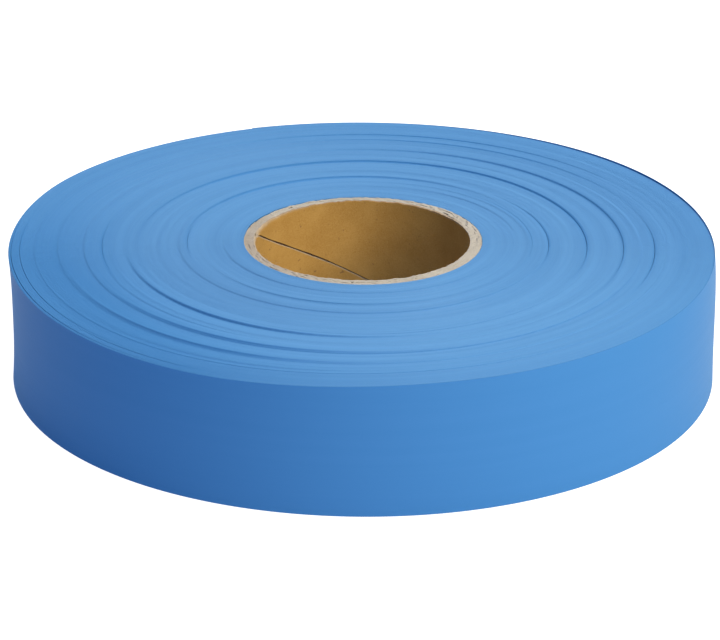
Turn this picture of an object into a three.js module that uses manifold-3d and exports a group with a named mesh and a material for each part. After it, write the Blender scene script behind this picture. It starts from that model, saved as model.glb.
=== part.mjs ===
// A roll of survey flagging tape: one long strip of non-adhesive vinyl film, wound on a spiral-wound
// paperboard core. Millimetres, +Z up. The roll lies flat: its axis is Z and it rests on the plane z = 0.
import * as THREE from "three";
import { mergeVertices } from "three/addons/utils/BufferGeometryUtils.js";
import Module from "manifold-3d";

// Driving dimensions.
const TAPE_WIDTH = 25; // the slit width of the film, and the cut length of the core
const BORE_RADIUS = 20; // a 40 mm bore, for a finger or a dispenser's spindle
const CORE_WALL = 2.2;
const TURN_PITCH = 0.12; // the film's thickness with the air wound in under it
const START_ANGLE = 140; // degrees round Z, where the strip begins on the core
const TAIL_ROOT_ANGLE = 60; // where the free end leaves the roll
const TAIL_EDGE_ANGLE = 110; // where the strip is cut off
const SEGMENTS = 72; // facets round the roll, the same ones in every ring, so that rings meet face to face

// The core is wound from straight paper strips that butt edge to edge along a helix.
const CORE_RADIUS = BORE_RADIUS + CORE_WALL;
const CORE_LIFT = 0.2; // the core's lower end above the floor
const SEAM_RISE = 66.8; // how far a strip climbs in one turn round the core
const SEAM_WIDTH = 0.4; // the open butt joint between a strip's edges, measured across it
const PLIES = [
  { name: "core_inner_liner", seamAngle: 172, colour: 0xa98248 },
  { name: "core_body_ply_1", seamAngle: 40, colour: 0xcbb795 },
  { name: "core_body_ply_2", seamAngle: 265, colour: 0xcbb795 },
  { name: "core_body_ply_3", seamAngle: 130, colour: 0xcbb795 },
  { name: "core_outer_liner", seamAngle: 355, colour: 0xb89a68 },
];

// An adhesive tab grips the strip's inner end on the core.
const TAB_SPAN = 20; // degrees
const TAB_HEIGHT = 21;
const TAB_THICKNESS = 0.3;
const TAB_CLEARANCE = 0.05;

// The wound strip, inside out: turns that lie at one level, and that level's height above the floor.
const BANDS = [
  { turns: 32, lift: 0.2 },
  { turns: 40, lift: 0.15 },
  { turns: 31, lift: 0.2 },
  { turns: 74, lift: 0.1 },
  { turns: 44, lift: 0.15 },
  { turns: 29, lift: 0.2 },
  { turns: 38, lift: 0.1 },
  { turns: 35, lift: 0.05 },
  { turns: 38, lift: 0 },
];
const OUTER_TURN_LIFT = 0.05;
const TAIL_CLEARANCE = 0.3; // between the outer turn's end and the free end's root, along the strip
const TAIL_STANDOFF = 0.02; // between the free end and the turn under it
const VINYL_BLUE = 0x4a8fd0;
const TAB_COLOUR = 0xe8e2d0;
const FILM_EDGE_ROUGHNESS = 0.45; // the wound edges, seen from above, scatter light
const FILM_FACE_ROUGHNESS = 0.35; // the film's own face is smoother
const TAB_ROUGHNESS = 0.6;
const BOARD_ROUGHNESS = 0.9;

const STEP = 360 / SEGMENTS;
const MERGE_DISTANCE = 1e-4; // points nearer than this are one point
const radians = THREE.MathUtils.degToRad;

const wasm = await Module();
wasm.setup();

const roll = new THREE.Group();

function add(name, geometry, colour, roughness) {
  const material = new THREE.MeshStandardMaterial({ color: colour, roughness, metalness: 0 });
  const mesh = new THREE.Mesh(geometry, material);
  mesh.name = name;
  roll.add(mesh);
}

// A point at a radius and an angle in degrees.
function polar(radius, angle) {
  return new THREE.Vector2(radius * Math.cos(radians(angle)), radius * Math.sin(radians(angle)));
}

// Points at every STEP from one angle to another, both on the shared facet grid.
function arc(radiusAt, from, to) {
  const count = Math.round((to - from) / STEP);
  return Array.from({ length: count + 1 }, (_, i) => {
    const angle = from + i * STEP;
    return polar(radiusAt(angle), angle);
  });
}

// An upright wall from z = base, with an optional hole.
function prism(outline, height, base, hole) {
  const shape = new THREE.Shape(outline);
  if (hole) shape.holes.push(new THREE.Path(hole));
  const geometry = new THREE.ExtrudeGeometry(shape, { depth: height, bevelEnabled: false });
  return geometry.translate(0, 0, base);
}

// A closed mesh as a solid for cutting, and a solid back as a mesh.
function solidOf(geometry) {
  const bare = geometry.clone();
  bare.deleteAttribute("normal");
  bare.deleteAttribute("uv");
  const merged = mergeVertices(bare, MERGE_DISTANCE);
  return new wasm.Manifold(
    new wasm.Mesh({
      numProp: 3,
      vertProperties: new Float32Array(merged.attributes.position.array),
      triVerts: new Uint32Array(merged.index.array),
    }),
  );
}

function meshOf(solid) {
  const { vertProperties, triVerts } = solid.getMesh();
  const geometry = new THREE.BufferGeometry();
  geometry.setAttribute("position", new THREE.BufferAttribute(vertProperties, 3));
  geometry.setIndex(new THREE.BufferAttribute(triVerts, 1));
  return geometry;
}

// The slot that a butt joint leaves: a thin upright slab that leans along the helix as it climbs,
// made from quadrilaterals one above another.
function seamSlot(topAngle, innerRadius, outerRadius) {
  const margin = 1;
  const levels = 10;
  const lean = Math.atan2(SEAM_RISE, 2 * Math.PI * innerRadius);
  const halfAngle = THREE.MathUtils.radToDeg(SEAM_WIDTH / Math.sin(lean) / innerRadius) / 2;
  const positions = [];
  for (let i = 0; i <= levels; i++) {
    const z = THREE.MathUtils.lerp(-margin, TAPE_WIDTH + margin, i / levels);
    const angle = topAngle + ((z - TAPE_WIDTH) / SEAM_RISE) * 360;
    const corners = [
      polar(innerRadius - margin, angle - halfAngle),
      polar(outerRadius + margin, angle - halfAngle),
      polar(outerRadius + margin, angle + halfAngle),
      polar(innerRadius - margin, angle + halfAngle),
    ];
    corners.forEach((corner) => positions.push(corner.x, corner.y, z));
  }
  const index = [0, 2, 1, 0, 3, 2];
  for (let i = 0; i < levels; i++) {
    for (let side = 0; side < 4; side++) {
      const next = (side + 1) % 4;
      const [a, b] = [4 * i + side, 4 * i + next];
      index.push(a, b, b + 4, a, b + 4, a + 4);
    }
  }
  const top = 4 * levels;
  index.push(top, top + 1, top + 2, top, top + 2, top + 3);
  const slot = new THREE.BufferGeometry();
  slot.setAttribute("position", new THREE.Float32BufferAttribute(positions, 3));
  slot.setIndex(index);
  return slot;
}

// The core: five paper strips, each a ring with one slanted butt joint, the joints staggered round it.
const plyThickness = CORE_WALL / PLIES.length;
PLIES.forEach(({ name, seamAngle, colour }, i) => {
  const inner = BORE_RADIUS + i * plyThickness;
  const outer = BORE_RADIUS + (i + 1) * plyThickness;
  const ring = prism(
    arc(() => outer, START_ANGLE, START_ANGLE + 360 - STEP),
    TAPE_WIDTH,
    0,
    arc(() => inner, START_ANGLE, START_ANGLE + 360 - STEP),
  );
  const ply = solidOf(ring).subtract(solidOf(seamSlot(seamAngle, inner, outer)));
  add(name, meshOf(ply).translate(0, 0, CORE_LIFT), colour, BOARD_ROUGHNESS);
});

// The tab lies on the core under the strip's first stretch.
const tabRadius = CORE_RADIUS + TAB_THICKNESS;
const tabOutline = [
  ...arc(() => tabRadius, START_ANGLE, START_ANGLE + TAB_SPAN),
  ...arc(() => CORE_RADIUS, START_ANGLE, START_ANGLE + TAB_SPAN).reverse(),
];
const tabBase = CORE_LIFT + (TAPE_WIDTH - TAB_HEIGHT) / 2;
add("start_tab", prism(tabOutline, TAB_HEIGHT, tabBase), TAB_COLOUR, TAB_ROUGHNESS);

// The strip's inner face: it climbs by one pitch in each turn. Angles count on from START_ANGLE.
function stripRadius(angle) {
  return CORE_RADIUS + (TURN_PITCH * (angle - START_ANGLE)) / 360;
}

// One turn of the strip's inner face, after that many whole turns.
function turnFace(turns) {
  const first = START_ANGLE + 360 * turns;
  return arc(stripRadius, first, first + 360);
}

// The first turn bridges the tab, and touches the core again one facet past each of its ends.
function firstFace() {
  return turnFace(0).map((point, i) => {
    const past = (i * STEP) % 360;
    const overTab = past <= TAB_SPAN;
    return overTab ? point.setLength(tabRadius + TAB_CLEARANCE + TURN_PITCH * (i / SEGMENTS)) : point;
  });
}

let woundTurns = 0;
BANDS.forEach(({ turns, lift }, i) => {
  const hole = woundTurns === 0 ? firstFace() : turnFace(woundTurns);
  woundTurns += turns;
  const band = prism(turnFace(woundTurns), TAPE_WIDTH, lift, hole);
  add(`tape_band_${i + 1}`, band, VINYL_BLUE, FILM_EDGE_ROUGHNESS);
});

// A stretch of the outermost turn between two angles, one film thick, standing off from the turn below.
function filmStretch(from, to, standoff) {
  const inner = arc((angle) => stripRadius(angle) + standoff, from, to);
  const outer = arc((angle) => stripRadius(angle) + TURN_PITCH, from, to);
  return [inner, outer];
}

// The outer turn ends where the free end begins; a small clearance in the strip marks the peel line.
// The outer turn runs from START_ANGLE on past 360 degrees, so the free end's angles lie one turn further on.
const lastTurn = START_ANGLE + 360 * woundTurns;
const tailRoot = TAIL_ROOT_ANGLE + 360 * (woundTurns + 1);
const tailEdge = TAIL_EDGE_ANGLE + 360 * (woundTurns + 1);
const [turnInner, turnOuter] = filmStretch(lastTurn, tailRoot, 0);
const peelGap = new THREE.Vector2(
  TAIL_CLEARANCE * Math.sin(radians(TAIL_ROOT_ANGLE)),
  -TAIL_CLEARANCE * Math.cos(radians(TAIL_ROOT_ANGLE)),
);
turnInner.at(-1).add(peelGap);
turnOuter.at(-1).add(peelGap);
const outerTurn = prism([...turnOuter, ...turnInner.reverse()], TAPE_WIDTH, OUTER_TURN_LIFT);
add("tape_outer_turn", outerTurn, VINYL_BLUE, FILM_FACE_ROUGHNESS);

const [tailInner, tailOuter] = filmStretch(tailRoot, tailEdge, TAIL_STANDOFF);
const tail = prism([...tailOuter, ...tailInner.reverse()], TAPE_WIDTH, OUTER_TURN_LIFT);
add("tape_free_end", tail, VINYL_BLUE, FILM_FACE_ROUGHNESS);

export default roll;
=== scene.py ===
"""A roll of survey flagging tape: blue vinyl film wound on a spiral-wound paperboard core."""
import math

import bpy
import numpy as np
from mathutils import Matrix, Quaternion, Vector


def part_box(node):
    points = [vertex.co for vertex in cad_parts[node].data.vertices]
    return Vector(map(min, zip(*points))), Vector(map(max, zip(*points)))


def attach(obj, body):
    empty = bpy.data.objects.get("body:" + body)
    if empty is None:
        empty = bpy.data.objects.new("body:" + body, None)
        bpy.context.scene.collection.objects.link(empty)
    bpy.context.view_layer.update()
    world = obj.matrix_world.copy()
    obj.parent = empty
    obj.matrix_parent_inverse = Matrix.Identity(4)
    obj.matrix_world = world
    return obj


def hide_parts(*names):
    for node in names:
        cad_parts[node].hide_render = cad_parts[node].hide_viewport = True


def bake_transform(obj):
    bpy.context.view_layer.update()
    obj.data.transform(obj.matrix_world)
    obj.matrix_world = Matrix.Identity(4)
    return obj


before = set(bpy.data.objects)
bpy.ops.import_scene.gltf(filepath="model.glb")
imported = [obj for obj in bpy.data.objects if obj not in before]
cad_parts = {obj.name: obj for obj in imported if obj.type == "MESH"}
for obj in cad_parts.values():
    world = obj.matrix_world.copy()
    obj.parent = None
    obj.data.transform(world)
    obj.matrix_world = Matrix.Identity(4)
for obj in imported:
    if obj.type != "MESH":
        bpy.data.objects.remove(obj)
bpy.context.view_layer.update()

# ---------------------------------------------------------------------------------------------
# The viewpoint: a long lens in front of the roll and a little above it, a hair out of level.
# ---------------------------------------------------------------------------------------------
CAMERA_LENS = 167.4  # on a 36 mm wide sensor
CAMERA_DISTANCE = 0.63065
CAMERA_ELEVATION = math.radians(22.97)
CAMERA_ROLL = math.radians(0.22)
AIM = Vector((-0.00049, 0, 0.00888))

towards_camera = Vector((0, -math.cos(CAMERA_ELEVATION), math.sin(CAMERA_ELEVATION)))
camera = bpy.data.objects.new("camera", bpy.data.cameras.new("camera"))
camera.data.lens = CAMERA_LENS
camera.location = AIM + towards_camera * CAMERA_DISTANCE
camera.rotation_mode = "QUATERNION"
level_view = (-towards_camera).to_track_quat("-Z", "Y")
camera.rotation_quaternion = level_view @ Quaternion((0, 0, 1), CAMERA_ROLL)
bpy.context.collection.objects.link(camera)
bpy.context.scene.camera = camera

# ---------------------------------------------------------------------------------------------
# The core: five strips of paper wound in a helix and glued, then the tube is sawn into 25 mm lengths.
# Each strip's two edges butt along a slanted joint that stays open by a hair, and the saw leaves the
# ends pale and rough. The liners are brown kraft, and the plies between them are grey-beige board.
# ---------------------------------------------------------------------------------------------
CORE_SEAM_RISE = 0.0692  # how far a strip climbs in one turn
CORE_SEAM_WIDTH = 0.00026  # the joint's opening, straight across it
CORE_SEAMS = {  # where each strip's joint meets the upper end, in degrees round Z
    "core_inner_liner": 172,
    "core_body_ply_1": 40,
    "core_body_ply_2": 265,
    "core_body_ply_3": 130,
    "core_outer_liner": 355,
}
JOINT_RAGGEDNESS = 0.4  # how much the opening varies, as a share of its width
JOINT_WAVE = 0.0009  # and over what height
BORE_RADIUS = 0.020
PLY_THICKNESS = 0.00044
PLY_WAVE, PLY_WAVE_HEIGHT = 0.000015, 0.004  # how far a strip's faces are from true, and over what height
SAW_ROUGHNESS = 0.00007
BURR_WIDTH = 0.00035  # how far in from a cut edge the paper is crushed and pale
BURR_DEEP = 0.0011  # the same where the saw broke out, on the left of the upper end
BURR_ANGLES = (125, 165, 215, 250)
CHAMFER_OUT, CHAMFER_DOWN = 0.00030, 0.00012  # how far the upper edge on the bore is broken away there
TORN_REACH, TORN_DEPTH = 0.0008, 0.00055  # the corner that is torn off at the top of the bore's joint
CLEAN_MIDDLE, CLEAN_REACH = 95, 85  # at the back the saw cut the liner cleanly, and it stays brown
CLEAN_SHARE = 0.95
JOINT_PALENESS, JOINT_PALE_REACH = 0.6, 0.00055  # the slit edge that shows beside the joint
STRIP_ROWS, STRIP_COLUMNS = 480, 40
COLUMN_CROWDING = 2.4  # the power by which the columns gather at a strip's two ends
END_POWER = 30  # the saw moves only the columns at the very ends: distance from the middle to this power
SAW_KNOTS, PLY_KNOTS, BREAK_KNOTS, BURR_KNOTS = (240, 70), 40, 90, 130  # random knots once round
KRAFT_BROWN = (0.44, 0.262, 0.080)
KRAFT_DARK = (0.315, 0.167, 0.039)
BOARD_BEIGE = (0.36, 0.28, 0.20)
BOARD_DARK = (0.26, 0.19, 0.13)
# Glue brown on the plies' glued faces, which show only down the open joints. It is real glue, and it is
# also painted shade that darkens the joints.
GLUE_AND_SHADE_BROWN = (0.20, 0.125, 0.09)
CUT_PAPER = (0.45, 0.43, 0.42)
CUT_PAPER_DARK = (0.33, 0.30, 0.28)
CUT_DIM_MIDDLE, CUT_DIM_REACH = 195, 75  # where the upper cut is less pale, and so darker, on the left
CUT_DIM = 0.3
FLECK_BROWN = (0.22, 0.12, 0.045)


def smoothstep(x):
    """0 below 0, 1 above 1, and 3x^2 - 2x^3 between them."""
    x = np.clip(x, 0, 1)
    return x * x * (3 - 2 * x)


def angle_window(angle, first, full, last_full, last):
    """1 between two angles in degrees and 0 outside two wider ones, with smooth ramps between."""
    degrees = np.mod(np.degrees(angle), 360)
    rise = smoothstep((degrees - first) / (full - first))
    fall = smoothstep((last - degrees) / (last - last_full))
    return rise * fall


def arc_bump(angle, middle, reach):
    """1 at the middle of an arc and 0 at its reach to either side, in degrees, as a squared cosine."""
    off = np.abs(np.mod(np.degrees(angle) - middle + 180, 360) - 180)
    return np.cos(np.clip(off / reach, 0, 1) * math.pi / 2) ** 2


def knot_noise(across, angle, knots_round, seed):
    """Smooth noise from -1 to 1. Random knots lie one apart along across, and knots_round times round
    the angle, which closes on itself. A point blends its four knots by smoothstep weights."""
    rng = np.random.default_rng(seed)
    knots = rng.uniform(-1, 1, (int(np.max(across) - np.min(across)) + 3, knots_round))
    across = across - np.floor(np.min(across))
    round_it = np.mod(angle / math.tau, 1) * knots_round
    row, column = np.floor(across).astype(int), np.floor(round_it).astype(int)
    u, v = smoothstep(across - row), smoothstep(round_it - column)
    near, far = column % knots_round, (column + 1) % knots_round
    low = knots[row, near] * (1 - v) + knots[row, far] * v
    high = knots[row + 1, near] * (1 - v) + knots[row + 1, far] * v
    return low * (1 - u) + high * u


def mesh_piece(name, points, quads, slots=None, sharp=30):
    """A mesh object from an array of points and an array of four corner numbers per face, smooth except
    where faces meet at more than sharp degrees. slots gives each face's material slot."""
    mesh = bpy.data.meshes.new(name)
    mesh.vertices.add(len(points))
    mesh.vertices.foreach_set("co", np.asarray(points, np.float32).ravel())
    mesh.loops.add(quads.size)
    mesh.loops.foreach_set("vertex_index", np.asarray(quads, np.int32).ravel())
    mesh.polygons.add(len(quads))
    mesh.polygons.foreach_set("loop_start", np.arange(0, quads.size, 4, dtype=np.int32))
    mesh.update(calc_edges=True)
    if slots is not None:
        mesh.polygons.foreach_set("material_index", np.asarray(slots, np.int32))
    mesh.shade_smooth()
    mesh.set_sharp_from_angle(angle=math.radians(sharp))
    piece = bpy.data.objects.new(name, mesh)
    bpy.context.collection.objects.link(piece)
    return piece


def point_values(piece, name, values):
    """Stores one number per point under a name that the piece's materials read."""
    attribute = piece.data.attributes.new(name, "FLOAT", "POINT")
    attribute.data.foreach_set("value", np.asarray(values, np.float32).ravel())


def sheet_solid(outer, inner):
    """Points and quads of a closed sheet with two faces, each a grid of points (rows, columns, 3) that
    match one to one. Rows run round the roll and columns upwards. Four rims join the faces."""
    rows, columns = outer.shape[:2]
    points = np.concatenate([outer.reshape(-1, 3), inner.reshape(-1, 3)])
    index = np.arange(rows * columns).reshape(rows, columns)
    a, b, c, d = index[:-1, :-1], index[1:, :-1], index[1:, 1:], index[:-1, 1:]
    face = np.stack([a, b, c, d], -1).reshape(-1, 4)
    loop = np.concatenate([index[:-1, 0], index[-1, :-1], index[:0:-1, -1], index[0, :0:-1]])
    after = np.roll(loop, -1)
    back = rows * columns
    rim = np.stack([after, loop, loop + back, after + back], -1)
    return points, np.concatenate([face, face[:, ::-1] + back, rim])


def paper_group():
    """Paper seen close: short fibres that lie every way, cloudy tone, and a few dark bark flecks."""
    group = bpy.data.node_groups.new("paper_fibres", "ShaderNodeTree")
    group.interface.new_socket("Vector", in_out="INPUT", socket_type="NodeSocketVector")
    group.interface.new_socket("Tone", in_out="OUTPUT", socket_type="NodeSocketFloat")
    group.interface.new_socket("Fleck", in_out="OUTPUT", socket_type="NodeSocketFloat")
    group.interface.new_socket("Height", in_out="OUTPUT", socket_type="NodeSocketFloat")
    nodes, links = group.nodes, group.links
    inlet, outlet = nodes.new("NodeGroupInput"), nodes.new("NodeGroupOutput")
    cloud = nodes.new("ShaderNodeTexNoise")
    cloud.inputs["Scale"].default_value = 160
    cloud.inputs["Detail"].default_value = 4
    fibres = nodes.new("ShaderNodeTexNoise")
    fibres.inputs["Scale"].default_value = 1900
    fibres.inputs["Detail"].default_value = 3
    fibres.inputs["Distortion"].default_value = 2.5
    tone = nodes.new("ShaderNodeMix")
    tone.inputs["Factor"].default_value = 0.55
    specks = nodes.new("ShaderNodeTexNoise")
    specks.inputs["Scale"].default_value = 1100
    specks.inputs["Detail"].default_value = 1
    fleck = nodes.new("ShaderNodeMapRange")
    fleck.inputs["From Min"].default_value = 0.69
    fleck.inputs["From Max"].default_value = 0.80
    for texture in (cloud, fibres, specks):
        links.new(inlet.outputs["Vector"], texture.inputs["Vector"])
    links.new(cloud.outputs["Fac"], tone.inputs["A"])
    links.new(fibres.outputs["Fac"], tone.inputs["B"])
    links.new(specks.outputs["Fac"], fleck.inputs["Value"])
    links.new(tone.outputs["Result"], outlet.inputs["Tone"])
    links.new(fleck.outputs["Result"], outlet.inputs["Fleck"])
    links.new(fibres.outputs["Fac"], outlet.inputs["Height"])
    return group


def colour_mix(nodes, links, factor, first, second):
    """A mix of two colours, each a tuple or another node's socket, by a socket's value."""
    mix = nodes.new("ShaderNodeMix")
    mix.data_type = "RGBA"
    links.new(factor, mix.inputs["Factor"])
    for socket, colour in ((mix.inputs[6], first), (mix.inputs[7], second)):
        if isinstance(colour, tuple):
            socket.default_value = (*colour, 1)
        else:
            links.new(colour, socket)
    return mix.outputs[2]


def paper_material(name, light, dark, fibre_group):
    """Matt paper of two tones with flecks, paler where the saw or the slitting knife has cut it."""
    material = bpy.data.materials.new(name)
    material.use_nodes = True
    nodes, links = material.node_tree.nodes, material.node_tree.links
    shader = nodes["Principled BSDF"]
    shader.inputs["Roughness"].default_value = 0.82
    shader.inputs["Specular IOR Level"].default_value = 0.25
    place = nodes.new("ShaderNodeTexCoord")
    fibres = nodes.new("ShaderNodeGroup")
    fibres.node_tree = fibre_group
    links.new(place.outputs["Object"], fibres.inputs["Vector"])
    spread = nodes.new("ShaderNodeMapRange")
    spread.inputs["From Min"].default_value = 0.32
    spread.inputs["From Max"].default_value = 0.68
    links.new(fibres.outputs["Tone"], spread.inputs["Value"])
    paper = colour_mix(nodes, links, spread.outputs["Result"], dark, light)
    flecked = colour_mix(nodes, links, fibres.outputs["Fleck"], paper, FLECK_BROWN)
    cut = nodes.new("ShaderNodeAttribute")
    cut.attribute_name = "cut"
    glued = nodes.new("ShaderNodeAttribute")
    glued.attribute_name = "glued"
    # glue brown, which also paints the shade down the open joints
    glued_and_shaded = colour_mix(nodes, links, glued.outputs["Fac"], flecked, GLUE_AND_SHADE_BROWN)
    pale = colour_mix(nodes, links, spread.outputs["Result"], CUT_PAPER_DARK, CUT_PAPER)
    colour = colour_mix(nodes, links, cut.outputs["Fac"], glued_and_shaded, pale)
    links.new(colour, shader.inputs["Base Color"])
    bump = nodes.new("ShaderNodeBump")
    bump.inputs["Strength"].default_value = 0.6
    bump.inputs["Distance"].default_value = 0.00006
    links.new(fibres.outputs["Height"], bump.inputs["Height"])
    links.new(bump.outputs["Normal"], shader.inputs["Normal"])
    return material


def core_strip(name, inner_radius, seam_angle, glued_faces, seed):
    """One wound strip, as far as it lies in this length of tube. The angle starts at the joint, whose
    place turns with height at CORE_SEAM_RISE per turn, and goes once round less the joint's opening.
    The columns nearest each end crowd together, where the saw's roughness moves them up and down. The
    upper edge on the bore is chamfered where the saw broke out, and torn at the joint's corner."""
    low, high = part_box(name)
    length = high.z - low.z
    share, crowded = np.linspace(0, 1, STRIP_ROWS + 1), np.linspace(-1, 1, STRIP_COLUMNS + 1)
    crowded = np.sign(crowded) * (1 - (1 - np.abs(crowded)) ** COLUMN_CROWDING)
    share, crowded = np.meshgrid(share, crowded, indexing="ij")
    level = (crowded + 1) / 2 * length
    at_ends = np.abs(crowded) ** END_POWER
    lean = math.atan2(CORE_SEAM_RISE, math.tau * BORE_RADIUS)
    opening = CORE_SEAM_WIDTH / math.sin(lean) / BORE_RADIUS
    joint = math.radians(seam_angle) - math.tau * (length - level) / CORE_SEAM_RISE
    ragged = opening * (1 + JOINT_RAGGEDNESS * knot_noise(level / JOINT_WAVE, share * 0, 3, seed + 50))
    angle = joint + ragged / 2 + share * (math.tau - ragged)
    to_joint = np.minimum(share, 1 - share) * math.tau * inner_radius
    to_top, to_bottom = length - level, level
    broken = 0.75 + 0.25 * knot_noise(angle * 0, angle, BREAK_KNOTS, seed + 21)
    broken = angle_window(angle, *BURR_ANGLES) * broken
    corner = np.exp(-((to_joint / TORN_REACH) ** 2) - (to_top / TORN_REACH) ** 2)
    rough = knot_noise(angle * 0, angle, SAW_KNOTS[0], seed)
    rough = rough + knot_noise(angle * 0, angle, SAW_KNOTS[1], seed + 9)
    sawn = low.z + level - np.sign(crowded) * at_ends * SAW_ROUGHNESS * (0.9 + rough)
    wave = PLY_WAVE * knot_noise(level / PLY_WAVE_HEIGHT, angle, PLY_KNOTS, seed + 3)
    faces = []
    for radius in (inner_radius + PLY_THICKNESS, inner_radius):
        r, z = radius + wave, sawn
        if radius == BORE_RADIUS:
            r = r + CHAMFER_OUT * broken * np.clip(1 - to_top / BURR_DEEP, 0, 1) ** 2
            z = z - TORN_DEPTH * corner - CHAMFER_DOWN * broken * at_ends
        faces.append(np.stack([r * np.cos(angle), r * np.sin(angle), z], -1))
    points, quads = sheet_solid(*faces)
    piece = mesh_piece(name + "_strip", points, quads, sharp=40)
    burr = BURR_WIDTH * (1 + 0.5 * knot_noise(angle * 0, angle, BURR_KNOTS, seed + 33))
    top_burr = burr + (BURR_DEEP - BURR_WIDTH) * broken
    cut = np.maximum(1 - smoothstep(to_top / top_burr), 1 - smoothstep(to_bottom / burr))
    cut = cut * (1 - CUT_DIM * arc_bump(angle, CUT_DIM_MIDDLE, CUT_DIM_REACH))
    if inner_radius == BORE_RADIUS:
        cut = cut * (1 - CLEAN_SHARE * arc_bump(angle, CLEAN_MIDDLE, CLEAN_REACH) ** 0.5)
    slit = (share < 0.5) * (1 - smoothstep(to_joint / JOINT_PALE_REACH))
    cut = np.maximum(cut, JOINT_PALENESS * slit)
    point_values(piece, "cut", np.tile(cut.ravel(), 2))
    glued = [float(face in glued_faces) for face in ("outer", "inner")]
    point_values(piece, "glued", np.repeat(glued, cut.size))
    return piece


FIBRE_COUNT = 250
FIBRE_STEPS, FIBRE_SIDES = 5, 4
FIBRE_DEPTHS = [0.00003, 0.0004, 0.0009, 0.0013, 0.0018, 0.00215]  # from the bore, near the plies' faces
FIBRE_LENGTHS = (0.00025, 0.0008)  # the shortest and the longest
FIBRE_GAIN = 0.5  # how much longer they are where the saw broke out
FIBRE_RISES = (0.1, 0.45)  # how high the tip lies, as a share of the length
FIBRE_RADII = (0.000012, 0.000024)
FIBRE_TAPER = 0.7
FIBRE_ROOT = 0.00012  # how far below the end face a fibre starts


def cut_fibres(name, seed):
    """Paper fibres that the saw pulled out of the upper cut end. Each is a closed four-sided hair that
    starts below the end face. With t from 0 to 1 along it, it goes sideways as t^1.5 and up by its rise
    times 2t - t^2. The table keeps the lower end's fibres pressed flat, so none are made there."""
    rng = np.random.default_rng(seed)
    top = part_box("core_inner_liner")[1].z
    count, steps, sides = FIBRE_COUNT, FIBRE_STEPS, FIBRE_SIDES
    angle = rng.uniform(0, math.tau, count)
    radius = BORE_RADIUS + rng.choice(FIBRE_DEPTHS, count)
    length = rng.uniform(*FIBRE_LENGTHS, count) * (1 + FIBRE_GAIN * angle_window(angle, *BURR_ANGLES))
    bend = rng.uniform(0, math.tau, count)
    rise = rng.uniform(*FIBRE_RISES, count)
    thick = rng.uniform(*FIBRE_RADII, count)
    root = np.stack([radius * np.cos(angle), radius * np.sin(angle), angle * 0 + top], -1)
    sideways = np.stack([np.cos(bend), np.sin(bend), bend * 0], -1)
    up = np.tile([0.0, 0.0, 1.0], (count, 1))
    across = np.cross(sideways, up)
    t = np.linspace(0, 1, steps + 1)[None, :, None]
    climb = rise[:, None, None] * (2 * t - t * t) * up[:, None]
    line = root[:, None] - up[:, None] * FIBRE_ROOT
    line = line + length[:, None, None] * (t**1.5 * sideways[:, None] + climb)
    turn = np.arange(sides) * math.tau / sides
    ring = np.cos(turn)[:, None] * up[:, None, None] + np.sin(turn)[:, None] * across[:, None, None]
    taper = (1 - FIBRE_TAPER * t[..., None]) * thick[:, None, None, None]
    points = (line[:, :, None] + taper * ring).reshape(-1, 3)
    fibre = np.arange(count)[:, None, None] * (steps + 1) * sides
    first = fibre + np.arange(steps)[None, :, None] * sides + np.arange(sides)
    beside = fibre + np.arange(steps)[None, :, None] * sides + (np.arange(sides) + 1) % sides
    skin = np.stack([first, beside, beside + sides, first + sides], -1).reshape(-1, 4)
    root_end = fibre.reshape(-1, 1) + np.arange(sides)[::-1]
    tip_end = fibre.reshape(-1, 1) + steps * sides + np.arange(sides)
    return mesh_piece(name, points, np.concatenate([skin, root_end, tip_end]))


fibre_group = paper_group()
kraft = paper_material("kraft_liner", KRAFT_BROWN, KRAFT_DARK, fibre_group)
board = paper_material("core_board", BOARD_BEIGE, BOARD_DARK, fibre_group)
GLUED = {"core_inner_liner": ["outer"], "core_outer_liner": ["inner"]}  # a body ply has glue on both faces
for number, (node, seam_angle) in enumerate(CORE_SEAMS.items()):
    inner_radius = BORE_RADIUS + number * PLY_THICKNESS
    glued_faces = GLUED.get(node, ["outer", "inner"])
    strip = core_strip(node, inner_radius, seam_angle, glued_faces, seed=11 * (number + 1))
    strip.data.materials.append(kraft if node in GLUED else board)
    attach(strip, "roll")
    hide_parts(node)

fray = cut_fibres("core_cut_fibres", seed=8)
fray.data.materials.append(paper_material("cut_fibre", CUT_PAPER, CUT_PAPER_DARK, fibre_group))
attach(fray, "roll")

# ---------------------------------------------------------------------------------------------
# The tab: a small paper label that sticks the film's inner end to the core. It is buried in the roll.
# ---------------------------------------------------------------------------------------------
TAB_CREAM, TAB_CREAM_DARK = (0.80, 0.76, 0.66), (0.70, 0.65, 0.55)

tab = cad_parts["start_tab"]
tab.data.materials.clear()
tab.data.materials.append(paper_material("tab_paper", TAB_CREAM, TAB_CREAM_DARK, fibre_group))

# ---------------------------------------------------------------------------------------------
# The strip: one length of blown vinyl film, wound 362 times. The winder lets it wander, so the edges
# of the turns lie at slightly different heights, and groups of turns have slipped a fraction of a
# millimetre past each other, which leaves the fine ledges that ring the roll.
# ---------------------------------------------------------------------------------------------
TURN_PITCH = 0.00012
FILM_THICKNESS = 0.00010
START_DEGREES = 140  # where the strip begins on the core
START_ANGLE = math.radians(START_DEGREES)
SEGMENTS = 144  # round one turn
WALL_ROWS = 12  # in a wall's height
CORE_RADIUS = BORE_RADIUS + len(CORE_SEAMS) * PLY_THICKNESS
TAPE_BANDS = sorted(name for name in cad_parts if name.startswith("tape_band_"))
TAPE_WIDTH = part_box("tape_outer_turn")[1].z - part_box("tape_outer_turn")[0].z

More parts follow.
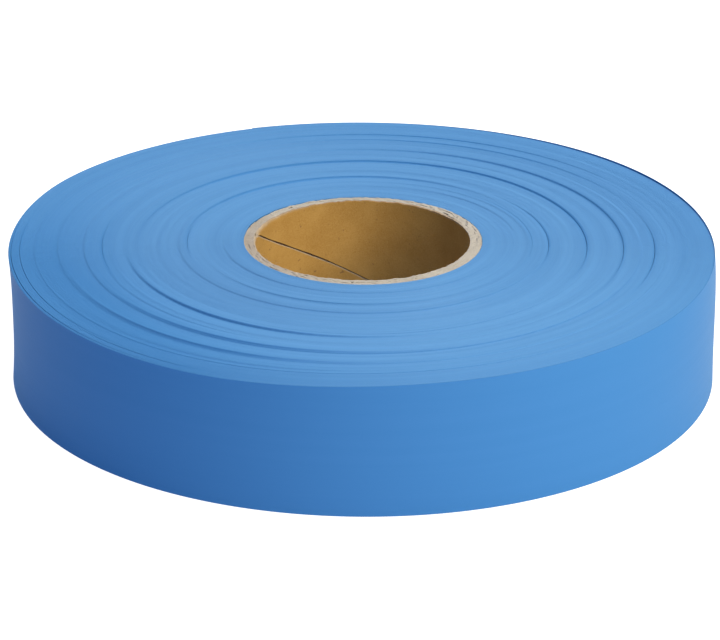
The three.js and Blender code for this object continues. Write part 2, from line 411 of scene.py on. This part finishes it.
# Where the turns have slipped: the ledge's radius, how far the turns outside it stand above the turns
# inside it (less than nothing where they stand below), the middle of its arc, and the arc's reach to
# either side, in degrees round Z.
LEDGES = [
    (0.0261, -0.00009, 220, 45),
    (0.0288, 0.00010, 40, 45),
    (0.0310, -0.00012, 255, 60),
    (0.0322, 0.00010, 175, 35),
    (0.0333, 0.00020, 105, 80),
    (0.0346, -0.00007, 262, 70),
    (0.0351, 0.00016, 8, 50),
    (0.0383, -0.00005, 215, 35),
    (0.0424, 0.00036, 65, 125),
    (0.0446, -0.00036, 238, 68),
    (0.0491, 0.00020, 35, 95),
    (0.0493, -0.00012, 222, 40),
    (0.0518, -0.00022, 245, 55),
    (0.0547, 0.00016, 355, 32),
    (0.0550, 0.00010, 75, 60),
    (0.0563, -0.00022, 235, 50),
    (0.0580, 0.00012, 70, 60),
    (0.0598, -0.00009, 250, 42),
]
LEDGE_REACH = 0.0028  # how far a slip takes to die out on each side
LEDGE_SHARPNESS = 0.00026
WANDER = 0.000014
WANDER_WAVES = [(1, 6, 5, 3), (2, 14, 4, 5)]  # how many WANDERs, turns to a knot, knots round, and seed
SWAY = 0.00076  # how far the middle turns lie off centre
SWAY_ANGLE = math.radians(256)
OVAL = 0.00065  # how much further out they lie at the front and back than on a circle
RIM_OFFSET = 0.00020  # the outer turns lie off centre by this, towards +X
LEAN = 0.00050  # how far the outer turns' upper edges lie off their lower ones, towards -X
LEAN_CURVE = 6  # the lean is all near the upper edge, as the height to this power
RIM_BULGES = [(158, 42, 0.00042), (204, 36, -0.00036)]  # middle, reach and how far the upper rim goes out
FOOT_BULGES = [(205, 62, 0.00050), (335, 60, 0.00018)]  # the same for the lower rim
FOOT_HEIGHT = 0.009  # how high above the table they reach
LOWER_CRUSH = 0.00008  # standing on the table rounds the outermost lower edges
UPPER_CRUSH = 0.00090  # on the left the outer turns' upper edges sink by this much
UPPER_CRUSH_ANGLES = (150, 182, 240, 285)
FRONT_CRUSH = 0.00025
FRONT_CRUSH_MIDDLE, FRONT_CRUSH_REACH = 290, 100
CRUSH_REACH = 0.0048  # how far in from the rim the front and the lower edge are pressed
KNOCK_REACH, KNOCK_CURVE = 0.016, 1.5  # the same on the left, where it grows as this power
CONE = 0.00008  # the inner turns' lean as a whole, up towards CONE_ANGLE, gone at the rim
CONE_ANGLE = math.radians(230)
CONE_SHARE = 0.75  # it is whole up to this share of the roll's radius
TAB_RISE = 0.00035  # how far the tab lifts the film off the core
TAB_DRAW = 0.00016  # and how far it draws the film's upper edge in
TAB_FADE_TURNS = 24
TAB_REACH = (126, 138, 160, 172)  # in degrees: the film leaves the core, lies on the tab, and is back on it
# Where slack film has left a hair-thin groove between turns: its radius, its width, and its arc as above.
SLACK_GAPS = [
    (0.0310, 0.00005, 255, 45),
    (0.0318, 0.00005, 20, 60),
    (0.0330, 0.00006, 180, 22),
    (0.0335, 0.00014, 115, 80),
    (0.0351, 0.00008, 5, 45),
    (0.0424, 0.00012, 20, 60),
    (0.0426, 0.00018, 95, 95),
    (0.0446, 0.00009, 236, 55),
    (0.0490, 0.00005, 186, 26),
    (0.0491, 0.00010, 30, 95),
    (0.0518, 0.00006, 245, 45),
    (0.0547, 0.00008, 351, 30),
    (0.0550, 0.00008, 65, 55),
    (0.0563, 0.00006, 236, 40),
    (0.0581, 0.00009, 80, 60),
    (0.0636, 0.00010, 202, 42),
    (0.0641, 0.00012, 232, 18),
    (0.0652, 0.00014, 208, 50),
]
GAP_FADE_TURNS = 26
LEAST_GAP, TIGHT_GAP = 0.000002, 0.00003  # between two turns: the least, and where a groove starts to open
GROOVE_SLOPE = 14  # how fast a groove deepens as its gap widens
GROOVE_DEPTHS = (0.00004, 0.002)
# Painted shade on the film's edges: a deeper blue. It is most in the outer turns on the left of the front,
# some of it lies over the outer half, and more lies beside each slack gap.
SLACK_SHADE_MIDDLE, SLACK_SHADE_REACH = 212, 75
SLACK_SHADE_FROM, SLACK_SHADE_FULL = 0.25, 0.875  # as shares of the way out
RIM_SLACK_SHADE = 0.25
SLACK_SHADE_LINE = 0.00036  # how far to either side of a slack gap the painted shade reaches
FULL_SHADE_GAP = 0.00013
SLACK_SHADE_BLUE = (0.048, 0.216, 0.56)  # painted shade: the deeper blue mixed into the edges' colour
EDGE_LIGHT, EDGE_DARK = (0.097, 0.284, 0.63), (0.078, 0.244, 0.57)
EDGE_ROUGHNESS, EDGE_GLOSS = (0.42, 0.55), 0.35
WALL_LIGHT, WALL_DARK = (0.053, 0.207, 0.525), (0.050, 0.202, 0.515)
WALL_ROUGHNESS, WALL_GLOSS = (0.38, 0.42), 0.12
STREAK_TURNS, STREAK_WIDTH = 9, 0.0015  # turns to a streak on the edges, and its width on the wall
# The streaks' two layers: how fine the noise is over the place, its detail, and how many times as fast as
# the phase it changes.
STREAK_LAYERS = {"Tone": (14, 5, 1), "Fine": (30, 2, 6)}
NOISE_ORIGIN = (0.137, 0.271, 0.093)


def share_out(turn):
    """How far out a turn lies, from 0 on the core to 1 at the rim."""
    return TURN_PITCH * turn / (ROLL_RADIUS - CORE_RADIUS)


def outer_half(turn):
    """0 in the inner half of the winding, and from there a smooth rise to 1 at the rim."""
    return smoothstep(2 * share_out(turn) - 1)


def over_tab(turn, angle):
    """1 where the first turn lies on the tab, dying out past the tab's ends and over TAB_FADE_TURNS."""
    return angle_window(angle, *TAB_REACH) * np.clip(1 - turn / TAB_FADE_TURNS, 0, 1)


def strip_radius(turn, angle):
    """The strip's inner face at its lower edge: the core plus one pitch a turn. To that come the sway and
    the oval, which are greatest half way out, the rim's offset, the rise over the tab, which fades as
    turns lie over it, and each slack gap, under which the turns are pressed in."""
    plain = CORE_RADIUS + TURN_PITCH * turn
    out = share_out(turn)
    off_round = SWAY * np.cos(angle - SWAY_ANGLE) - OVAL * np.cos(2 * angle)
    sway = off_round * np.sin(math.pi * np.clip(out, 0, 1)) ** 2
    sway = sway + RIM_OFFSET * smoothstep(out) * np.cos(angle)
    pressed = 0
    for radius, gap, middle, reach in SLACK_GAPS:
        under = round((radius - CORE_RADIUS) / TURN_PITCH) - turn
        fade = np.where(under > 0, np.clip(1 - under / GAP_FADE_TURNS, 0, 1), 0)
        pressed = pressed + gap * arc_bump(angle, middle, reach) * fade
    return plain + sway + TAB_RISE * over_tab(turn, angle) - pressed


def upper_lean(turn, angle):
    """How far the strip's upper edge lies outside its lower edge: LEAN towards -X and each bulge over its
    own arc, only in the outer half of the roll, and TAB_DRAW inwards just above the tab."""
    rim = -LEAN * np.cos(angle)
    for middle, reach, bulge in RIM_BULGES:
        rim = rim + bulge * arc_bump(angle, middle, reach)
    return rim * outer_half(turn) - TAB_DRAW * over_tab(turn, angle)


def foot_lean(turn, angle, height):
    """How far the strip stands out near the table: each foot bulge over its own arc, in the outer half of
    the roll, dying out as the square of the height left below FOOT_HEIGHT."""
    foot = sum(bulge * arc_bump(angle, middle, reach) for middle, reach, bulge in FOOT_BULGES)
    return foot * outer_half(turn) * np.clip(1 - height / FOOT_HEIGHT, 0, 1) ** 2


def strip_level(turn, angle):
    """How far the strip's lower edge lies above the table. Each band has its own height. A ledge adds half
    its step on one side of it and takes half off on the other, dying out away from it and towards its
    arc's ends. Two sizes of noise are the winder's wander."""
    plain = CORE_RADIUS + TURN_PITCH * turn
    level = np.interp(plain, BAND_KNOTS, BAND_LEVELS)
    for radius, step, middle, reach in LEDGES:
        off = plain - radius
        side = np.clip(off / LEDGE_SHARPNESS, -1, 1) * np.clip(1 - np.abs(off) / LEDGE_REACH, 0, 1)
        level = level + side * step / 2 * arc_bump(angle, middle, reach)
    inward = 1 - smoothstep((plain / ROLL_RADIUS - CONE_SHARE) / (1 - CONE_SHARE))
    level = level + CONE * inward * np.cos(angle - CONE_ANGLE)
    for strength, turns, knots_round, seed in WANDER_WAVES:
        level = level + strength * WANDER * knot_noise(turn / turns, angle, knots_round, seed)
    return np.maximum(level, 0)


def edge_crush(turn, angle):
    """How far the strip's upper and lower edges are pressed in near the rim, as a pair of heights."""
    plain = CORE_RADIUS + TURN_PITCH * turn
    out = smoothstep((plain - (ROLL_RADIUS - CRUSH_REACH)) / CRUSH_REACH)
    front = FRONT_CRUSH * arc_bump(angle, FRONT_CRUSH_MIDDLE, FRONT_CRUSH_REACH)
    sunk = np.clip((plain - (ROLL_RADIUS - KNOCK_REACH)) / KNOCK_REACH, 0, 1) ** KNOCK_CURVE
    knock = UPPER_CRUSH * angle_window(angle, *UPPER_CRUSH_ANGLES)
    return front * out + knock * sunk + LOWER_CRUSH * out**3, LOWER_CRUSH * out**3


def turns_wound_by(node):
    """Whole turns from the core to the outside of a band, from its reach along +X."""
    return round((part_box(node)[1].x - CORE_RADIUS) / TURN_PITCH - (1 - START_ANGLE / math.tau))


BAND_ENDS = [0] + [turns_wound_by(node) for node in TAPE_BANDS]
WOUND_TURNS = BAND_ENDS[-1]
ROLL_RADIUS = CORE_RADIUS + TURN_PITCH * (WOUND_TURNS + 2)
# Each band's height, with a short ramp of twice LEDGE_SHARPNESS from one band to the next.
band_radii = CORE_RADIUS + TURN_PITCH * np.array(BAND_ENDS)
BAND_KNOTS = np.concatenate([[r - LEDGE_SHARPNESS, r + LEDGE_SHARPNESS] for r in band_radii])[1:-1]
BAND_LEVELS = np.repeat([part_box(node)[0].z for node in TAPE_BANDS], 2)


def painted_slack_shade(turn, angle):
    """How much painted shade the film's edges take, from 0 to 1. It is most in the outer turns on the left
    of the front, takes RIM_SLACK_SHADE over the outer half, and lies on a bell curve of SLACK_SHADE_LINE's
    width over each slack gap, as high as the gap is wide."""
    plain = CORE_RADIUS + TURN_PITCH * turn
    outwards = smoothstep((share_out(turn) - SLACK_SHADE_FROM) / (SLACK_SHADE_FULL - SLACK_SHADE_FROM))
    slack_shade = arc_bump(angle, SLACK_SHADE_MIDDLE, SLACK_SHADE_REACH) * outwards + RIM_SLACK_SHADE * outer_half(turn)
    for radius, gap, middle, reach in SLACK_GAPS:
        bell = np.exp(-(((plain - radius) / SLACK_SHADE_LINE) ** 2))
        slack_shade = slack_shade + bell * arc_bump(angle, middle, reach) * gap / FULL_SHADE_GAP
    return np.clip(slack_shade, 0, 1)


def curtain(points, upright, values, tops, lows):
    """A closed wall hung between two loops of numbered points, in WALL_ROWS rows. The height falls evenly.
    The plan place is the upright's, plus the upper point's lean times the share of height to the power
    LEAN_CURVE, plus the lower point's foot, which dies out as foot_lean says. Gives the points and
    their values with the new ones added, and the wall's quads."""
    share = np.linspace(1, 0, WALL_ROWS + 1)[1:-1, None, None]
    high, low, plan = points[tops], points[lows], upright[lows]
    z = low[:, 2:] + (high - low)[:, 2:] * share
    lean, foot = high[:, :2] - plan, low[:, :2] - plan
    across = plan + lean * share**LEAN_CURVE + foot * np.clip(1 - z / FOOT_HEIGHT, 0, 1) ** 2
    between = np.concatenate([across, z], -1)
    numbers = len(points) + np.arange((WALL_ROWS - 1) * len(tops)).reshape(WALL_ROWS - 1, -1)
    grid = np.concatenate([tops[None], numbers, lows[None]])
    ahead = np.roll(grid, -1, axis=1)
    quads = np.stack([grid[:-1], grid[1:], ahead[1:], ahead[:-1]], -1).reshape(-1, 4)
    points = np.concatenate([points, between.reshape(-1, 3)])
    return points, np.concatenate([values, np.tile(values[tops], WALL_ROWS - 1)]), quads


def wound_band(name, first_turn, last_turn):
    """A closed ring of wound film. Along the spiral run three lines on each face: the film's inner edge a,
    its outer edge b, and the bottom v of the groove between it and the next turn. Quads join a to b,
    b to v, and v to the next turn's a. An inner and an outer curtain close the ring, each with the
    small step that the spiral makes where a turn begins."""
    count = (last_turn - first_turn) * SEGMENTS
    turn = first_turn + np.arange(count + 1) / SEGMENTS
    angle = START_ANGLE + math.tau * turn
    inner, following = strip_radius(turn, angle), strip_radius(turn + 1, angle)
    level, next_level = strip_level(turn, angle), strip_level(turn + 1, angle)
    gap = np.maximum(following - inner - FILM_THICKNESS, LEAST_GAP)
    depth = np.clip((gap - TIGHT_GAP) * GROOVE_SLOPE, *GROOVE_DEPTHS)
    crush, low_crush = edge_crush(turn, angle)
    next_crush, next_low_crush = edge_crush(turn + 1, angle)
    lean, next_lean = upper_lean(turn, angle), upper_lean(turn + 1, angle)
    foot, next_foot = foot_lean(turn, angle, 0), foot_lean(turn + 1, angle, 0)
    outer = inner + FILM_THICKNESS
    middle = outer + gap / 2

    def line(radius, z):
        return np.stack([radius * np.cos(angle), radius * np.sin(angle), z], -1)

    upper, next_upper = level + TAPE_WIDTH - crush, next_level + TAPE_WIDTH - next_crush
    lower, next_lower = level + low_crush, next_level + next_low_crush
    groove_top = np.minimum(upper, next_upper) - depth
    groove_bottom = np.maximum(lower, next_lower) + depth
    points = np.concatenate([
        line(inner + lean, upper),
        line(outer + lean, upper),
        line(middle + (lean + next_lean) / 2, groove_top),
        line(inner + foot, lower),
        line(outer + foot, lower),
        line(middle + (foot + next_foot) / 2, groove_bottom),
    ])
    upright = np.concatenate([line(r, level)[:, :2] for r in (inner, outer, middle)] * 2)
    values = np.concatenate([turn, turn, turn + 0.5] * 2)
    a, b, v, a_low, b_low, v_low = (np.arange(count + 1) + k * (count + 1) for k in range(6))
    inside, ahead = slice(0, count - SEGMENTS), slice(1, count - SEGMENTS + 1)
    beyond, beyond_ahead = slice(SEGMENTS, count), slice(SEGMENTS + 1, count + 1)
    edges = [
        (a[:-1], b[:-1], b[1:], a[1:]),
        (b[inside], v[inside], v[ahead], b[ahead]),
        (v[inside], a[beyond], a[beyond_ahead], v[ahead]),
        (a_low[1:], b_low[1:], b_low[:-1], a_low[:-1]),
        (b_low[ahead], v_low[ahead], v_low[inside], b_low[inside]),
        (v_low[ahead], a_low[beyond_ahead], a_low[beyond], v_low[inside]),
    ]
    edge_quads = np.concatenate([np.stack(corners, -1) for corners in edges])
    tail = count - SEGMENTS
    outside = [np.append(p[tail:], [q[-1], r[tail]]) for p, q, r in ((b, a, v), (b_low, a_low, v_low))]
    first = slice(SEGMENTS, None, -1)
    within = [np.append(p[first], [q[0], r[0]]) for p, q, r in ((a, b, v), (a_low, b_low, v_low))]
    points, values, outside_quads = curtain(points, upright, values, *outside)
    points, values, within_quads = curtain(points, upright, values, *within)
    wall_quads = np.concatenate([outside_quads, within_quads])
    slots = np.repeat([0, 1], [len(edge_quads), len(wall_quads)])
    used, quads = np.unique(np.concatenate([edge_quads, wall_quads]), return_inverse=True)
    points, values = points[used], values[used]
    piece = mesh_piece(name, points, quads.reshape(-1, 4), slots)
    point_values(piece, "turn", values)
    # painted shade: each point's share of the deeper blue that the film materials mix in
    point_values(piece, "slack_shade", painted_slack_shade(values, START_ANGLE + math.tau * values))
    return piece


def film_group():
    """The faint streaks of blown film: noise that changes fast with Phase, counted in streaks, and slowly
    with the place. Tone is its value, and Fine is a second, sharper layer. Noise is flat along the
    planes through its own origin, so that origin is moved off the roll."""
    group = bpy.data.node_groups.new("film_streaks", "ShaderNodeTree")
    group.interface.new_socket("Vector", in_out="INPUT", socket_type="NodeSocketVector")
    group.interface.new_socket("Phase", in_out="INPUT", socket_type="NodeSocketFloat")
    group.interface.new_socket("Tone", in_out="OUTPUT", socket_type="NodeSocketFloat")
    group.interface.new_socket("Fine", in_out="OUTPUT", socket_type="NodeSocketFloat")
    nodes, links = group.nodes, group.links
    inlet, outlet = nodes.new("NodeGroupInput"), nodes.new("NodeGroupOutput")
    away = nodes.new("ShaderNodeMapping")
    away.inputs["Location"].default_value = NOISE_ORIGIN
    links.new(inlet.outputs["Vector"], away.inputs["Vector"])
    for output, (place_scale, detail, faster) in STREAK_LAYERS.items():
        quick = nodes.new("ShaderNodeMath")
        quick.operation = "MULTIPLY"
        quick.inputs[1].default_value = faster / place_scale
        noise = nodes.new("ShaderNodeTexNoise")
        noise.noise_dimensions = "4D"
        noise.inputs["Scale"].default_value = place_scale
        noise.inputs["Detail"].default_value = detail
        spread = nodes.new("ShaderNodeMapRange")
        spread.inputs["From Min"].default_value = 0.3
        spread.inputs["From Max"].default_value = 0.7
        links.new(inlet.outputs["Phase"], quick.inputs[0])
        links.new(quick.outputs[0], noise.inputs["W"])
        links.new(away.outputs["Vector"], noise.inputs["Vector"])
        links.new(noise.outputs["Fac"], spread.inputs["Value"])
        links.new(spread.outputs["Result"], outlet.inputs[output])
    return group


def film_material(name, light, dark, roughness, gloss, streak_group, phase):
    """Glossy vinyl of two close tones, and a deeper blue painted in as shade where the points' slack_shade
    value says so.
    phase(nodes, links) gives the socket that counts streaks."""
    material = bpy.data.materials.new(name)
    material.use_nodes = True
    nodes, links = material.node_tree.nodes, material.node_tree.links
    shader = nodes["Principled BSDF"]
    shader.inputs["IOR"].default_value = 1.53
    shader.inputs["Specular IOR Level"].default_value = gloss
    place = nodes.new("ShaderNodeTexCoord")
    streaks = nodes.new("ShaderNodeGroup")
    streaks.node_tree = streak_group
    links.new(place.outputs["Object"], streaks.inputs["Vector"])
    links.new(phase(nodes, links), streaks.inputs["Phase"])
    # painted shade: the deeper blue mixed in by the slack_shade value
    slack_shade = nodes.new("ShaderNodeAttribute")
    slack_shade.attribute_name = "slack_shade"
    tight = colour_mix(nodes, links, streaks.outputs["Tone"], dark, light)
    colour = colour_mix(nodes, links, slack_shade.outputs["Fac"], tight, SLACK_SHADE_BLUE)
    links.new(colour, shader.inputs["Base Color"])
    sheen = nodes.new("ShaderNodeMapRange")
    sheen.inputs["To Min"].default_value = roughness[0]
    sheen.inputs["To Max"].default_value = roughness[1]
    links.new(streaks.outputs["Fine"], sheen.inputs["Value"])
    links.new(sheen.outputs["Result"], shader.inputs["Roughness"])
    return material


def turns_phase(nodes, links):
    """Streaks that follow the wound turns, STREAK_TURNS of them to a streak."""
    turn = nodes.new("ShaderNodeAttribute")
    turn.attribute_name = "turn"
    scale = nodes.new("ShaderNodeMath")
    scale.operation = "MULTIPLY"
    scale.inputs[1].default_value = 1 / STREAK_TURNS
    links.new(turn.outputs["Fac"], scale.inputs[0])
    return scale.outputs[0]


def height_phase(nodes, links):
    """Streaks that run along the film, one to every STREAK_WIDTH of its height."""
    place = nodes.new("ShaderNodeTexCoord")
    split = nodes.new("ShaderNodeSeparateXYZ")
    scale = nodes.new("ShaderNodeMath")
    scale.operation = "MULTIPLY"
    scale.inputs[1].default_value = 1 / STREAK_WIDTH
    links.new(place.outputs["Object"], split.inputs[0])
    links.new(split.outputs["Z"], scale.inputs[0])
    return scale.outputs[0]


streak_group = film_group()
film_edges = film_material(
    "film_edges", EDGE_LIGHT, EDGE_DARK, EDGE_ROUGHNESS, EDGE_GLOSS, streak_group, turns_phase
)
film_wall = film_material(
    "film_wall", WALL_LIGHT, WALL_DARK, WALL_ROUGHNESS, WALL_GLOSS, streak_group, height_phase
)
for node, first_turn, last_turn in zip(TAPE_BANDS, BAND_ENDS, BAND_ENDS[1:]):
    band = wound_band(node + "_film", first_turn, last_turn)
    band.data.materials.append(film_edges)
    band.data.materials.append(film_wall)
    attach(band, "roll")
    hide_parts(node)

# ---------------------------------------------------------------------------------------------
# The outermost turn and the free end: a single thickness of the same film. The turn is drawn tight,
# and the last 57 mm of the strip only lie against the roll, with the cut edge standing off a little.
# ---------------------------------------------------------------------------------------------
TAIL_ROOT_DEGREES, TAIL_EDGE_DEGREES = 60, 110  # where the free end leaves the roll, and is cut off
FILM_COLUMNS = 20
TAIL_LIFT, TAIL_CURVE = 0.00012, 5  # the cut edge stands off by this, growing as this power of the length
CORNER_LIFT = 0.8  # how much more the cut edge's two corners stand off
LIP = 0.00034  # how far the outermost turn stands above the rest at the right of the back
LIP_MIDDLE, LIP_REACH = 32, 62


def film_length(name, first_turn, last_turn, stand_off):
    """A single thickness of film between two places along the strip, as a closed sheet. stand_off gives
    how far it stands out from the turn below, from the share of its length and of its width. The
    upper edge leans and is pressed down as the wound turns' are, and stands up as a lip behind."""
    rows = round((last_turn - first_turn) * SEGMENTS * 2)
    along, across = np.linspace(0, 1, rows + 1), np.linspace(0, 1, FILM_COLUMNS + 1)
    along, across = np.meshgrid(along, across, indexing="ij")
    turn = first_turn + along * (last_turn - first_turn)
    angle = START_ANGLE + math.tau * turn
    crush, low_crush = edge_crush(turn, angle)
    width = TAPE_WIDTH - crush - low_crush + LIP * arc_bump(angle, LIP_MIDDLE, LIP_REACH)
    z = strip_level(turn, angle) + low_crush + across * width
    inner = strip_radius(turn, angle) + stand_off(along, across)
    inner = inner + upper_lean(turn, angle) * across**LEAN_CURVE + foot_lean(turn, angle, z)
    radii = (inner + FILM_THICKNESS, inner)
    faces = [np.stack([r * np.cos(angle), r * np.sin(angle), z], -1) for r in radii]
    piece = mesh_piece(name, *sheet_solid(*faces))
    piece.data.materials.append(film_wall)
    return piece


def drawn_tight(along, across):
    """No stand-off anywhere."""
    return 0 * along * across


def left_loose(along, across):
    """TAIL_LIFT times the share of length to the power TAIL_CURVE, and more towards both edges."""
    return TAIL_LIFT * along**TAIL_CURVE * (1 + CORNER_LIFT * (2 * across - 1) ** 4)


tail_root = WOUND_TURNS + (360 - START_DEGREES + TAIL_ROOT_DEGREES) / 360
tail_edge = WOUND_TURNS + (360 - START_DEGREES + TAIL_EDGE_DEGREES) / 360
outer_turn = film_length("tape_outer_turn_film", WOUND_TURNS, tail_root, drawn_tight)
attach(outer_turn, "roll")
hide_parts("tape_outer_turn")

tail = film_length("tape_free_end_film", tail_root, tail_edge, left_loose)
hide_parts("tape_free_end")
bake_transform(tail)

# ---------------------------------------------------------------------------------------------
# The table and the light: a pale sheet that glows a little, a large soft lamp on the right, another
# above, a weak one in front, and a dim bluish room. The sheet can't be seen from below, so that the
# roll's underside can.
# ---------------------------------------------------------------------------------------------
TABLE_HALF = 3.0
TABLE_DROP = 0.00004  # below the roll's lowest edges, so that the sheet shares no plane with them
SHEET_GREY = (0.35, 0.35, 0.35)
SHEET_GLOW = (0.17, 0.33, 0.56)  # what it throws on the roll; seen directly, it is plain white
SHEET_WHITE = (1.0, 1.0, 1.0)
ROOM_COLOUR, ROOM_STRENGTH = (0.55, 0.74, 1), 0.12

table = mesh_piece(
    "table",
    np.array([[-1, -1, 0], [1, -1, 0], [1, 1, 0], [-1, 1, 0]]) * TABLE_HALF - (0, 0, TABLE_DROP),
    np.array([[0, 1, 2, 3]]),
)
paper = bpy.data.materials.new("table_paper")
paper.use_nodes = True
sheet = paper.node_tree.nodes["Principled BSDF"]
sheet.inputs["Base Color"].default_value = (*SHEET_GREY, 1)
sheet.inputs["Roughness"].default_value = 0.9
sheet.inputs["Emission Strength"].default_value = 1
table_nodes, table_links = paper.node_tree.nodes, paper.node_tree.links
seen = table_nodes.new("ShaderNodeLightPath").outputs["Is Camera Ray"]
glow = colour_mix(table_nodes, table_links, seen, SHEET_GLOW, SHEET_WHITE)
table_links.new(glow, sheet.inputs["Emission Color"])
from_below = table_nodes.new("ShaderNodeMath")
from_below.operation = "MULTIPLY"
table_links.new(seen, from_below.inputs[0])
table_links.new(table_nodes.new("ShaderNodeNewGeometry").outputs["Backfacing"], from_below.inputs[1])
open_below = table_nodes.new("ShaderNodeMixShader")
table_links.new(from_below.outputs[0], open_below.inputs[0])
table_links.new(sheet.outputs[0], open_below.inputs[1])
table_links.new(table_nodes.new("ShaderNodeBsdfTransparent").outputs[0], open_below.inputs[2])
table_links.new(open_below.outputs[0], table_nodes["Material Output"].inputs["Surface"])
table.data.materials.append(paper)


def soft_lamp(name, place, size, watts, colour):
    """A square area lamp that faces the roll."""
    lamp = bpy.data.objects.new(name, bpy.data.lights.new(name, "AREA"))
    lamp.data.size = size
    lamp.data.color = colour
    lamp.data.energy = watts
    lamp.location = place
    lamp.rotation_mode = "QUATERNION"
    lamp.rotation_quaternion = (AIM - lamp.location).to_track_quat("-Z", "Y")
    bpy.context.collection.objects.link(lamp)


soft_lamp("lamp_right", Vector((0.66, -0.44, 0.56)), 0.6, 10.8, (1.0, 0.89, 0.60))
soft_lamp("lamp_above", Vector((0.05, 0.25, 1.0)), 0.8, 9, (1.0, 0.97, 0.92))
soft_lamp("lamp_front", Vector((0.25, -1.0, 0.40)), 0.8, 2.8, (0.90, 0.94, 1.0))

room = bpy.data.worlds.new("room")
room.use_nodes = True
room.node_tree.nodes["Background"].inputs["Color"].default_value = (*ROOM_COLOUR, 1)
room.node_tree.nodes["Background"].inputs["Strength"].default_value = ROOM_STRENGTH
bpy.context.scene.world = room
bpy.context.scene.view_settings.view_transform = "Standard"
